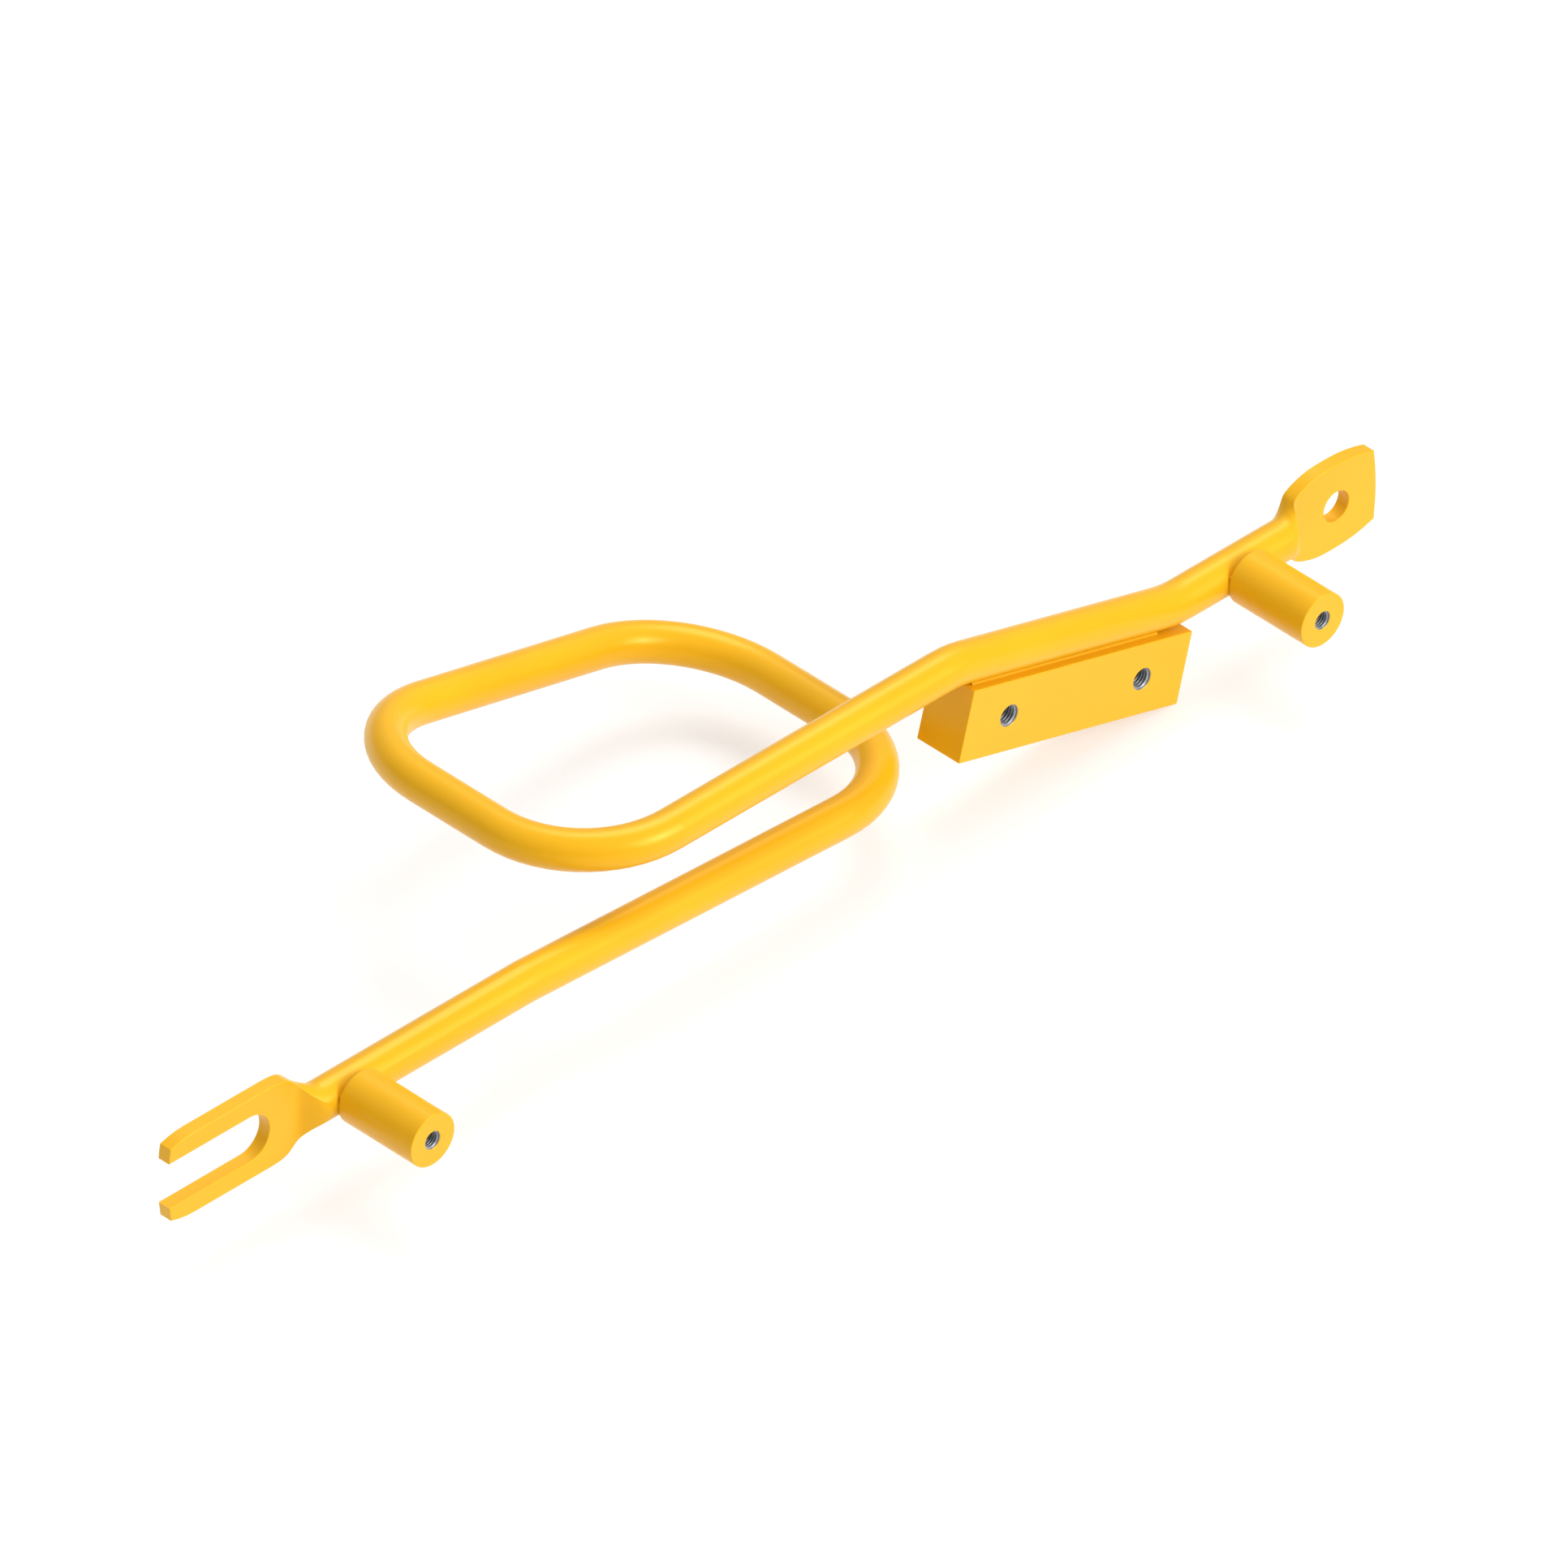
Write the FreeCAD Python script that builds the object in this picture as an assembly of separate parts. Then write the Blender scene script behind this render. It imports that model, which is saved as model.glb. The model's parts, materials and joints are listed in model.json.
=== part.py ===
import FreeCAD, Part
import math
import os

from FreeCAD import Placement, Rotation, Vector

# A rigid welded bow: one bent round bar with a forked end and an eye end, two threaded bosses
# and one threaded block. Millimetres. +X runs along the bar from the fork to the eye, +Z is up,
# and the bosses point towards -Y. The origin is midway between the two boss faces.

# --- driving dimensions -----------------------------------------------------------------------

BAR_DIAMETER = 22.0
BEND_RADIUS = 61.0            # to the bar's centreline

BOSS_SPACING = 616.0
BOSS_DIAMETER = 30.0
BOSS_LENGTH = 51.5
BOSS_THREAD_DIAMETER = 10.0
BOSS_THREAD_DEPTH = 26.0

BLOCK_LENGTH = 157.5
BLOCK_HEIGHT = 41.0
BLOCK_THICKNESS = 30.0
BLOCK_THREAD_DIAMETER = 12.0
BLOCK_THREAD_SPACING = 96.0

PLATE_THICKNESS = 8.0         # of both flat ends
PLATE_SETBACK = 0.75          # from the bar's axis back to their front faces
FORK_HEIGHT = 49.0
FORK_SLOT_WIDTH = 27.0
FORK_SLOT_CENTRE_X = -372.0   # centre of the slot's round end
FORK_TAPER_X = -410.0         # where the tines start to taper
FORK_TIP_X = -427.8
FORK_TAPER_RADIUS = 50.0
FORK_TIP_RADIUS = 150.0
EYE_HEIGHT = 51.0
EYE_HOLE_DIAMETER = 17.5
EYE_CENTRE_X = 380.0
EYE_TIP_X = 407.8
EYE_SIDE_RADIUS = 80.0
EYE_TIP_RADIUS = 160.0

EDGE_ROUNDING = 0.5
THREAD_CHAMFER = 0.45         # across the cone that opens each thread's mouth, and its depth
DRILL_POINT = 0.6             # depth of a drill's point as a share of the hole's radius
WELD_THROAT = 1.4             # how deep a weld fills the groove beside the round bar
WELD_ROOT = 1.6               # where that groove becomes wide enough to fill
WELD_BULGE = 0.3
WELD_END_MARGIN = 2.0

PICK_SLACK = 0.1              # allowance when edges are picked by where they lie

# Corners of the bar's centreline, before its bends are rounded.
LOOP_DEPTH = 175.0            # how far the loop reaches back, towards +Y
UPPER_RUN_Z = 41.3
LOWER_RUN_Z = -16.0
LOWER_RUN_START_X = -185.0
LOWER_RUN_END_X = 94.7
UPPER_RUN_START_X = -145.0
JOG_START_X = 111.0
JOG_END_X = 262.0

# How each end goes from round bar to flat plate. A station is x, how flat the section is
# (0 round, 1 flat) and the flat section's half height. They are control sections: the surface
# is a smooth curve that follows them.
FORK_STATIONS = [
    (-326.0, 0.0, 20.0),
    (-328.0, 0.0, 20.0),
    (-331.0, 0.12, 17.5),
    (-334.8, 0.5, 16.2),
    (-338.6, 0.9, 16.6),
    (-341.2, 1.0, 18.6),
    (-345.3, 1.0, 22.7),
    (-351.0, 1.0, 24.4),
    (-361.0, 1.0, 24.5),
    (-367.0, 1.0, 24.5),
    (-373.0, 1.0, 24.5),
]
EYE_STATIONS = [
    (340.0, 0.0, 20.0),
    (342.3, 0.0, 20.0),
    (345.1, 0.1, 16.5),
    (347.8, 0.55, 16.5),
    (349.3, 0.95, 17.6),
    (350.8, 1.0, 19.4),
    (356.0, 1.0, 22.2),
    (365.5, 1.0, 25.1),
    (373.0, 1.0, 25.5),
    (376.5, 1.0, 25.5),
    (380.0, 1.0, 25.5),
]

# Where the corners of the flat section fade into the round bar, as an angle either side of its
# front and its rear, and the angle that each rounded corner keeps there.
CORNER_ANGLE = 30.0
CORNER_SPREAD = 5.0

# --- worked out from them ---------------------------------------------------------------------

BAR_RADIUS = BAR_DIAMETER / 2
BAR_Y = BOSS_LENGTH + BAR_RADIUS
LOOP_Y = BAR_Y + LOOP_DEPTH
PLATE_FRONT_Y = BAR_Y + PLATE_SETBACK
JOG_ANGLE = math.degrees(math.atan2(UPPER_RUN_Z, JOG_END_X - JOG_START_X))
JOG_LENGTH = math.hypot(UPPER_RUN_Z, JOG_END_X - JOG_START_X)
JOG_BEND_SETBACK = BEND_RADIUS * math.tan(math.radians(JOG_ANGLE / 2))

AXIS_X = Vector(1, 0, 0)
AXIS_Y = Vector(0, 1, 0)

# The jog's own frame: x down the slope from the jog's first corner, z square to it.
JOG_FRAME = Placement(Vector(JOG_START_X, BAR_Y, UPPER_RUN_Z), Rotation(AXIS_Y, JOG_ANGLE))


# --- the round bar ----------------------------------------------------------------------------

def bend(before, corner, after):
    """One bend's start, its end and its arc."""
    back = (before - corner).normalize()
    ahead = (after - corner).normalize()
    half_angle = back.getAngle(ahead) / 2
    setback = BEND_RADIUS / math.tan(half_angle)
    bisector = (back + ahead).normalize()
    start = corner + back * setback
    middle = corner + bisector * (BEND_RADIUS / math.sin(half_angle) - BEND_RADIUS)
    end = corner + ahead * setback
    return start, end, Part.Arc(start, middle, end).toShape()


def centreline():
    """Straight runs joined by tangent arcs, from the fork to the eye."""
    corners = [
        Vector(FORK_STATIONS[0][0], BAR_Y, 0),
        Vector(LOWER_RUN_START_X, BAR_Y, 0),
        Vector(LOWER_RUN_END_X, BAR_Y, LOWER_RUN_Z),
        Vector(LOWER_RUN_END_X, LOOP_Y, LOWER_RUN_Z),
        Vector(UPPER_RUN_START_X, LOOP_Y, UPPER_RUN_Z),
        Vector(UPPER_RUN_START_X, BAR_Y, UPPER_RUN_Z),
        Vector(JOG_START_X, BAR_Y, UPPER_RUN_Z),
        Vector(JOG_END_X, BAR_Y, 0),
        Vector(EYE_STATIONS[0][0], BAR_Y, 0),
    ]
    edges = []
    here = corners[0]
    for before, corner, after in zip(corners, corners[1:], corners[2:]):
        start, end, arc = bend(before, corner, after)
        edges += [Part.makeLine(here, start), arc]
        here = end
    edges.append(Part.makeLine(here, corners[-1]))
    return Part.Wire(edges)


def round_bar():
    path = centreline()
    start = Vector(FORK_STATIONS[0][0], BAR_Y, 0)
    disc = Part.Face(Part.Wire(Part.Circle(start, AXIS_X, BAR_RADIUS).toShape()))
    bar = path.makePipe(disc)
    drift = bar.Volume / (disc.Area * path.Length) - 1
    print("round bar: length", round(path.Length, 1), "volume drift", round(drift, 6))
    return bar


# --- the pressed stretches between bar and plate ----------------------------------------------

def bar_arc(first, last):
    """The first two rational poles of an arc of the bar's circle: (forward, up, weight)."""
    start = math.radians(first)
    middle = math.radians((first + last) / 2)
    weight = math.cos(middle - start)
    reach = BAR_RADIUS / weight
    return [
        (BAR_RADIUS * math.cos(start), BAR_RADIUS * math.sin(start), 1),
        (reach * math.cos(middle), reach * math.sin(middle), weight),
    ]


def round_section():
    """The bar's circle, as four corner arcs and the four sides between them."""
    half = CORNER_SPREAD / 2
    corners = [turn + side for turn in (0, 180, 360) for side in (-CORNER_ANGLE, CORNER_ANGLE)][1:]
    poles = []
    for angle, following in zip(corners, corners[1:]):
        poles += bar_arc(angle - half, angle + half)
        poles += bar_arc(angle + half, following - half)
    return poles


def flat_section(half_height):
    """The plate's rounded rectangle, with poles that pair with the round section's."""
    front = -PLATE_SETBACK
    rear = front - PLATE_THICKNESS
    top = half_height - EDGE_ROUNDING
    corner_weight = math.sqrt(0.5)
    top_half = [
        (front, top, 1),
        (front, half_height, corner_weight),
        (front - EDGE_ROUNDING, half_height, 1),
        ((front + rear) / 2, half_height, 1),
        (rear + EDGE_ROUNDING, half_height, 1),
        (rear, half_height, corner_weight),
        (rear, top, 1),
        (rear, 0, 1),
    ]
    bottom_half = [(forward, -up, weight) for forward, up, weight in reversed(top_half[:-1])]
    return top_half + bottom_half + [(front, 0, 1)]


def section(x, flatness, half_height):
    """One control section: sixteen poles as (point, weight)."""
    poles = []
    for bar_pole, plate_pole in zip(round_section(), flat_section(half_height)):
        forward, up, weight = [a + flatness * (b - a) for a, b in zip(bar_pole, plate_pole)]
        poles.append((Vector(x, BAR_Y - forward, up), weight))
    return poles + poles[:1]


def pressed_stretch(stations):
    """The smooth solid that follows the stations, closed by a flat face at each end."""
    rows = [section(*station) for station in stations]
    strip_starts = range(0, len(rows[0]) - 1, 2)
    spans = len(rows) - 3
    knots = list(range(spans + 1))
    multiplicities = [4] + [1] * (spans - 1) + [4]
    faces = []
    for first in strip_starts:
        points = [[row[first + step][0] for step in range(3)] for row in rows]
        weights = [[row[first + step][1] for step in range(3)] for row in rows]
        strip = Part.BSplineSurface()
        strip.buildFromPolesMultsKnots(
            points, multiplicities, [3, 3], knots, [0, 1], False, False, 3, 2, weights)
        faces.append(strip.toShape())
    for row in (rows[0], rows[-1]):
        edges = []
        for first in strip_starts:
            points, weights = zip(*row[first:first + 3])
            side = Part.BSplineCurve()
            side.buildFromPolesMultsKnots(points, [3, 3], [0, 1], False, 2, weights)
            edges.append(side.toShape())
        faces.append(Part.Face(Part.Wire(edges)))
    shell = Part.Shell(faces)
    shell.sewShape()
    return upright(Part.Solid(shell))


def upright(solid):
    """The same solid with its faces outwards."""
    if solid.Volume < 0:
        solid.reverse()
    return solid


# --- the parallel plates of the two ends ------------------------------------------------------

def disc_through_plate(x, z, radius):
    return Part.makeCylinder(radius, PLATE_THICKNESS, Vector(x, PLATE_FRONT_Y, z), AXIS_Y)


def box_through_plate(low_x, high_x, half_height):
    size_x = high_x - low_x
    corner = Vector(low_x, PLATE_FRONT_Y, -half_height)
    return Part.makeBox(size_x, PLATE_THICKNESS, 2 * half_height, corner)


def lens(x, half_height, radius):
    """Two equal arcs, above and below, that are level and furthest apart at x."""
    drop = radius - half_height
    return disc_through_plate(x, -drop, radius).common(disc_through_plate(x, drop, radius))


def round_edges(solid, is_chosen):
    chosen = [edge for edge in solid.Edges if is_chosen(edge.BoundBox)]
    return solid.makeFillet(EDGE_ROUNDING, chosen)


def fork_plate():
    root_x = FORK_STATIONS[-1][0]
    parallel = box_through_plate(FORK_TAPER_X, root_x, FORK_HEIGHT / 2)
    beyond = box_through_plate(FORK_TIP_X - FORK_HEIGHT, FORK_TAPER_X, FORK_HEIGHT)
    tip = disc_through_plate(FORK_TIP_X + FORK_TIP_RADIUS, 0, FORK_TIP_RADIUS)
    taper = lens(FORK_TAPER_X, FORK_HEIGHT / 2, FORK_TAPER_RADIUS)
    blank = parallel.fuse(beyond.common(taper).common(tip)).removeSplitter()
    return round_edges(blank, lambda box: box.XMin < root_x - PICK_SLACK)


def eye_plate():
    root_x = EYE_STATIONS[-1][0]
    beyond = box_through_plate(root_x, EYE_TIP_X + EYE_HEIGHT, EYE_HEIGHT)
    tip = disc_through_plate(EYE_TIP_X - EYE_TIP_RADIUS, 0, EYE_TIP_RADIUS)
    side = lens(root_x, EYE_HEIGHT / 2, EYE_SIDE_RADIUS)
    blank = beyond.common(side).common(tip)
    return round_edges(blank, lambda box: box.XMax > root_x + PICK_SLACK)


def flared_cutter(profile, low_x, high_x):
    """The profile cut through the plate, flared at both faces to leave rounded edges."""
    sheet = box_through_plate(low_x, high_x, FORK_HEIGHT)
    inside = profile.BoundBox
    inside.enlarge(PICK_SLACK)
    rim = sheet.cut(profile)
    chosen = [
        edge for edge in rim.Edges
        if inside.isInside(edge.BoundBox) and edge.BoundBox.YLength < PICK_SLACK
    ]
    rim = rim.makeFillet(EDGE_ROUNDING, chosen)
    return sheet.cut(rim)


def fork_slot():
    radius = FORK_SLOT_WIDTH / 2
    low_x = FORK_TIP_X - FORK_SLOT_WIDTH
    straight = box_through_plate(low_x, FORK_SLOT_CENTRE_X, radius)
    profile = straight.fuse(disc_through_plate(FORK_SLOT_CENTRE_X, 0, radius)).removeSplitter()
    return flared_cutter(profile, low_x, FORK_SLOT_CENTRE_X + FORK_SLOT_WIDTH)


def eye_hole():
    profile = disc_through_plate(EYE_CENTRE_X, 0, EYE_HOLE_DIAMETER / 2)
    return flared_cutter(profile, EYE_CENTRE_X - EYE_HEIGHT, EYE_CENTRE_X + EYE_HEIGHT)


def bow_bar():
    pieces = [pressed_stretch(FORK_STATIONS), pressed_stretch(EYE_STATIONS), fork_plate(), eye_plate()]
    return round_bar().fuse(pieces).cut([fork_slot(), eye_hole()])


# --- bosses and block -------------------------------------------------------------------------

def countersink(mouth, direction, radius):
    """The cone that takes the sharp edge off a thread's mouth."""
    return Part.makeCone(radius + THREAD_CHAMFER, radius, THREAD_CHAMFER, mouth, direction)


def boss(x):
    """Boss with its threaded hole at the major diameter, its face at y = 0."""
    face = Vector(x, 0, 0)
    body = Part.makeCylinder(BOSS_DIAMETER / 2, BOSS_LENGTH, face, AXIS_Y)
    body = round_edges(body, lambda box: box.YLength < PICK_SLACK)
    radius = BOSS_THREAD_DIAMETER / 2
    hole = Part.makeCylinder(radius, BOSS_THREAD_DEPTH, face, AXIS_Y)
    point = Part.makeCone(radius, 0, radius * DRILL_POINT, face + AXIS_Y * BOSS_THREAD_DEPTH, AXIS_Y)
    return body.cut([hole, point, countersink(face, AXIS_Y, radius)])


def threaded_block():
    """Block in the jog's frame: its top is tangent to the bar and its front is flush with it."""
    front_y = -BAR_RADIUS
    corner = Vector(JOG_BEND_SETBACK, front_y, -BAR_RADIUS - BLOCK_HEIGHT)
    body = Part.makeBox(BLOCK_LENGTH, BLOCK_THICKNESS, BLOCK_HEIGHT, corner)
    body = body.makeFillet(EDGE_ROUNDING, body.Edges)
    radius = BLOCK_THREAD_DIAMETER / 2
    middle_x = corner.x + BLOCK_LENGTH / 2
    middle_z = corner.z + BLOCK_HEIGHT / 2
    for side in (-1, 1):
        mouth = Vector(middle_x + side * BLOCK_THREAD_SPACING / 2, front_y, middle_z)
        far_mouth = mouth + AXIS_Y * BLOCK_THICKNESS
        hole = Part.makeCylinder(radius, BLOCK_THICKNESS, mouth, AXIS_Y)
        body = body.cut([hole, countersink(mouth, AXIS_Y, radius), countersink(far_mouth, -AXIS_Y, radius)])
    body.Placement = JOG_FRAME
    return body


# --- welds ------------------------------------------------------------------------------------

def weld_bead(start, length, side):
    """
    A weld along the bar, in a frame where the bar's axis is x and a flat face touches the bar
    from below. It fills the groove between them on one side: -1 or +1 along y.
    """
    angle = math.acos(1 - WELD_THROAT / BAR_RADIUS)
    root_angle = math.asin(WELD_ROOT / BAR_RADIUS)

    def on_bar(turn):
        return Vector(start, side * BAR_RADIUS * math.sin(turn), -BAR_RADIUS * math.cos(turn))

    root = Vector(start, side * WELD_ROOT, -BAR_RADIUS)
    toe = Vector(start, on_bar(angle).y + side * WELD_THROAT / 2, -BAR_RADIUS)
    top = on_bar(angle)
    outward = (top - toe).cross(Vector(side, 0, 0)).normalize()
    crown = (toe + top) / 2 + outward * WELD_BULGE
    outline = Part.Wire([
        Part.makeLine(on_bar(root_angle), root),
        Part.makeLine(root, toe),
        Part.Arc(toe, crown, top).toShape(),
        Part.Arc(top, on_bar((angle + root_angle) / 2), on_bar(root_angle)).toShape(),
    ])
    return Part.Face(outline).extrude(AXIS_X * length)


def block_weld(side):
    """Along the straight part of the jog, in front of the bar (-1) or behind it (+1)."""
    start = JOG_BEND_SETBACK + WELD_END_MARGIN
    bead = weld_bead(start, JOG_LENGTH - 2 * start, side)
    bead.Placement = JOG_FRAME
    return bead


def boss_weld(x, side):
    """Between a boss's rear face and the bar, above it (+1) or below it (-1)."""
    reach = BOSS_DIAMETER / 2 - EDGE_ROUNDING
    bead = weld_bead(-reach, 2 * reach, -side)
    bead.Placement = Placement(Vector(x, BAR_Y, 0), Rotation(AXIS_X, -90))
    return bead.common(Part.makeCylinder(reach, 2 * BAR_Y, Vector(x, 0, 0), AXIS_Y))


# --- all the pieces ---------------------------------------------------------------------------

def pieces():
    made = {
        "bow_bar": bow_bar(),
        "threaded_block": threaded_block(),
        "block_front_weld": block_weld(-1),
        "block_rear_weld": block_weld(1),
    }
    for name, x in (("fork", -BOSS_SPACING / 2), ("eye", BOSS_SPACING / 2)):
        made[f"{name}_boss"] = boss(x)
        made[f"{name}_boss_upper_weld"] = boss_weld(x, 1)
        made[f"{name}_boss_lower_weld"] = boss_weld(x, -1)
    return made


def main():
    os.makedirs("parts", exist_ok=True)
    for name, shape in pieces().items():
        print(name, len(shape.Solids), shape.isValid(), round(shape.Volume))
        shape.exportStep(f"parts/{name}.step")


main()
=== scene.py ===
"""Finish of a bent bar bow: gloss enamel, cut threads and rippled weld beads on its CAD model."""

import json
import math

import bpy
from bpy.props import FloatProperty, FloatVectorProperty, IntProperty, PointerProperty
from mathutils import Matrix, Vector


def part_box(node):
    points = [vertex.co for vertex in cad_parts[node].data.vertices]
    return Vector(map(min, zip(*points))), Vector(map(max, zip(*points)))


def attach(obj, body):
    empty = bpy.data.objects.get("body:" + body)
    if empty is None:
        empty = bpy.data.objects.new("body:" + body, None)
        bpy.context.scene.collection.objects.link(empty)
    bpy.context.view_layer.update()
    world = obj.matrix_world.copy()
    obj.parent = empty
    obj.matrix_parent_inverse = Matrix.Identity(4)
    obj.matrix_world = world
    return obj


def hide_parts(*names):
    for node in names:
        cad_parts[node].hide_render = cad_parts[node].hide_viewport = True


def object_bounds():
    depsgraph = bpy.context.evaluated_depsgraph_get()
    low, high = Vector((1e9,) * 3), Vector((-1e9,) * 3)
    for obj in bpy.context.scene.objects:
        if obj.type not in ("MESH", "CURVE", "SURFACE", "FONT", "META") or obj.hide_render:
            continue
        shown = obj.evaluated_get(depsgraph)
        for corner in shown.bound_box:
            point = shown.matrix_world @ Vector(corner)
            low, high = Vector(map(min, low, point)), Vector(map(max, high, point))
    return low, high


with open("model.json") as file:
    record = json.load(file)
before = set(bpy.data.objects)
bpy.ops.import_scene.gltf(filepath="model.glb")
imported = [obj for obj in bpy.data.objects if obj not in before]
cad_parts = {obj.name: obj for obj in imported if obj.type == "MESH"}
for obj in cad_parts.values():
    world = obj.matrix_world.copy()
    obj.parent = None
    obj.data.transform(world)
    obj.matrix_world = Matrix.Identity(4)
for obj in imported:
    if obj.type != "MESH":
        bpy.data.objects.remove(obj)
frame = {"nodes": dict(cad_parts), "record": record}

bl_info = {
    "name": "Bent bar bow finish",
    "version": (1, 0, 0),
    "blender": (4, 5, 0),
    "location": "3D View > Sidebar > Bow",
    "description": "Paints a welded bar bow, cuts its four threads and lays its six weld beads",
    "category": "Object",
}

# Everything is in metres, in the frame of the CAD model: x along the bar from the fork to the
# eye, z up, and the two bosses point towards -y.

CAD_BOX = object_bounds()
BODY = "root"
MM = 0.001
MICRON = 0.000001
WHITE = (1.0, 1.0, 1.0, 1.0)

MOUNTS = {mount["name"]: mount for mount in frame["record"]["mounts"]}

# The threaded holes: the new piece's name, the mount that says where it is, and its thread.
THREADS = (
    ("fork_boss_thread_ridge", "fork_boss_thread", "boss"),
    ("eye_boss_thread_ridge", "eye_boss_thread", "boss"),
    ("block_upper_thread_ridge", "block_thread_upper", "block"),
    ("block_lower_thread_ridge", "block_thread_lower", "block"),
)

# The weld beads: the CAD weld that each one stands for, the piece whose flat face it runs
# along, and the side of the bar that it is on.
WELDS = (
    ("fork_boss_upper_weld", "fork_boss", 1),
    ("fork_boss_lower_weld", "fork_boss", -1),
    ("eye_boss_upper_weld", "eye_boss", 1),
    ("eye_boss_lower_weld", "eye_boss", -1),
    ("block_front_weld", "threaded_block", -1),
    ("block_rear_weld", "threaded_block", 1),
)


# --- what a user would change -----------------------------------------------------------------

def length_property(name, description, default):
    return FloatProperty(
        name=name, description=description, default=default, precision=5, subtype="DISTANCE",
        unit="LENGTH")


def factor_property(name, description, default):
    return FloatProperty(
        name=name, description=description, default=default, min=0.0, max=1.0, subtype="FACTOR")


def colour_property(name, description, default):
    return FloatVectorProperty(
        name=name, description=description, default=default, min=0.0, max=1.0, size=3,
        subtype="COLOR")


def angle_property(name, description, degrees):
    return FloatProperty(
        name=name, description=description, default=math.radians(degrees), subtype="ANGLE")


def power_property(name, description, default):
    return FloatProperty(name=name, description=description, default=default, min=0.0, unit="POWER")


def strength_property(name, description, default):
    return FloatProperty(name=name, description=description, default=default, min=0.0)


class BowPaintSettings(bpy.types.PropertyGroup):
    """The enamel on the whole bow, and the bare steel inside its threaded holes."""

    colour: colour_property("Colour", "Enamel at its full thickness", (0.80, 0.405, 0.008))
    # Lighter enamel on sharp edges: partly film drawn thin, partly a painted edge highlight.
    edge_highlight_colour: colour_property(
        "Edge highlight colour", "Enamel where it has drawn thin over a sharp edge", (0.86, 0.47, 0.016))
    sheen: colour_property("Sheen", "Tint of the highlight on the enamel", (1.0, 0.82, 0.20))
    reflection: factor_property("Reflection", "Strength of the highlight on the enamel", 0.6)
    roughness: factor_property("Roughness", "Of the enamel", 0.34)
    coat: factor_property("Gloss coat", "Weight of the clear film on top of the enamel", 0.06)
    coat_roughness: factor_property("Coat roughness", "Of the clear film", 0.12)
    peel_size: length_property("Peel size", "Width of one dimple of the orange peel", 1.8 * MM)
    peel_depth: length_property("Peel depth", "Depth of the orange peel", 6 * MICRON)
    edge_width: length_property(
        "Edge width", "How far the thin enamel reaches from an edge", 1.2 * MM)
    steel: colour_property("Steel", "Bare cut steel in the threads", (0.34, 0.355, 0.38))
    steel_shine: factor_property("Steel shine", "How metallic the cut steel is, under its oil", 0.35)
    steel_roughness: factor_property("Steel roughness", "Of the cut threads", 0.33)
    lip: length_property("Bare lip", "How far the bare steel reaches past a hole's wall", 0.12 * MM)


class BowThreadSettings(bpy.types.PropertyGroup):
    """The ridges of the metric threads."""

    boss_pitch: length_property("Boss pitch", "Of the M10 threads in the bosses", 1.5 * MM)
    block_pitch: length_property("Block pitch", "Of the M12 threads in the block", 1.75 * MM)
    run_out: FloatProperty(
        name="Run-out", description="Turns over which a ridge rises at each end", default=0.3,
        min=0.05)
    segments: IntProperty(
        name="Segments", description="Of one turn of the ridge", default=48, min=12)


class BowWeldSettings(bpy.types.PropertyGroup):
    """The beads in the grooves beside the round bar."""

    bar_radius: length_property("Bar radius", "Of the round bar", 11 * MM)
    throat: length_property("Throat", "Height of a bead above the flat face", 1.4 * MM)
    bulge: length_property("Bulge", "Of a bead's face, past the line between its toes", 0.3 * MM)
    seat: length_property("Seat", "How deep a bead is fused into both pieces", 0.15 * MM)
    ripple_pitch: length_property("Ripple pitch", "From one ripple to the next", 1.3 * MM)
    ripple_height: length_property("Ripple height", "Of each ripple", 0.09 * MM)
    end_gap: length_property("End gap", "From a bead's end to the end of its groove", 1.2 * MM)
    step: length_property("Step", "Between the rings of a bead's mesh", 0.25 * MM)
    sides: IntProperty(name="Sides", description="Of a ring of a bead's mesh", default=28, min=8)


class BowStageSettings(bpy.types.PropertyGroup):
    """The floor, the lights and the camera."""

    azimuth: angle_property("Azimuth", "Of the camera, from -y towards +x", -44.29)
    elevation: angle_property("Elevation", "Of the camera above the floor", 36.66)
    lens: FloatProperty(
        name="Lens", description="Focal length, so long that parallel edges stay parallel",
        default=1700.0, min=1.0, unit="CAMERA")
    view_width: length_property("View width", "Of the square view", 0.7775)
    aim_right: length_property("Aim right", "Of the bow's middle, across the view", 0.0462)
    aim_up: length_property("Aim up", "Of the bow's middle, up the view", -0.0018)
    floor_reach: length_property("Floor reach", "From the floor's middle to its sides", 60.0)
    floor_colour: colour_property("Floor", "Pale floor", (0.52, 0.52, 0.52))
    floor_glow: strength_property("Floor glow", "Keeps the floor pale in soft shade", 0.45)
    light_distance: length_property("Light distance", "From the bow's middle to each light", 8.0)
    key_size: length_property("Key size", "Of the large front light", 5.0)
    key_power: power_property("Key", "Of the large front light", 390.0)
    glint_size: length_property("Glint size", "Of the small front light", 1.2)
    glint_power: power_property("Glint", "Of the small front light", 100.0)
    top_size: length_property("Top size", "Of the overhead light", 4.0)
    top_power: power_property("Top", "Of the overhead light", 240.0)
    zenith: strength_property("Zenith", "Strength of the studio's light overhead", 0.98)
    horizon: strength_property("Horizon", "Strength of the studio's light at the sides", 0.26)
    wall: strength_property("Wall", "Strength of the studio's walls where they are seen", 1.0)


# --- node trees -------------------------------------------------------------------------------

def shown_socket(sockets, name):
    return next(socket for socket in sockets if socket.enabled and socket.name == name)


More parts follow.
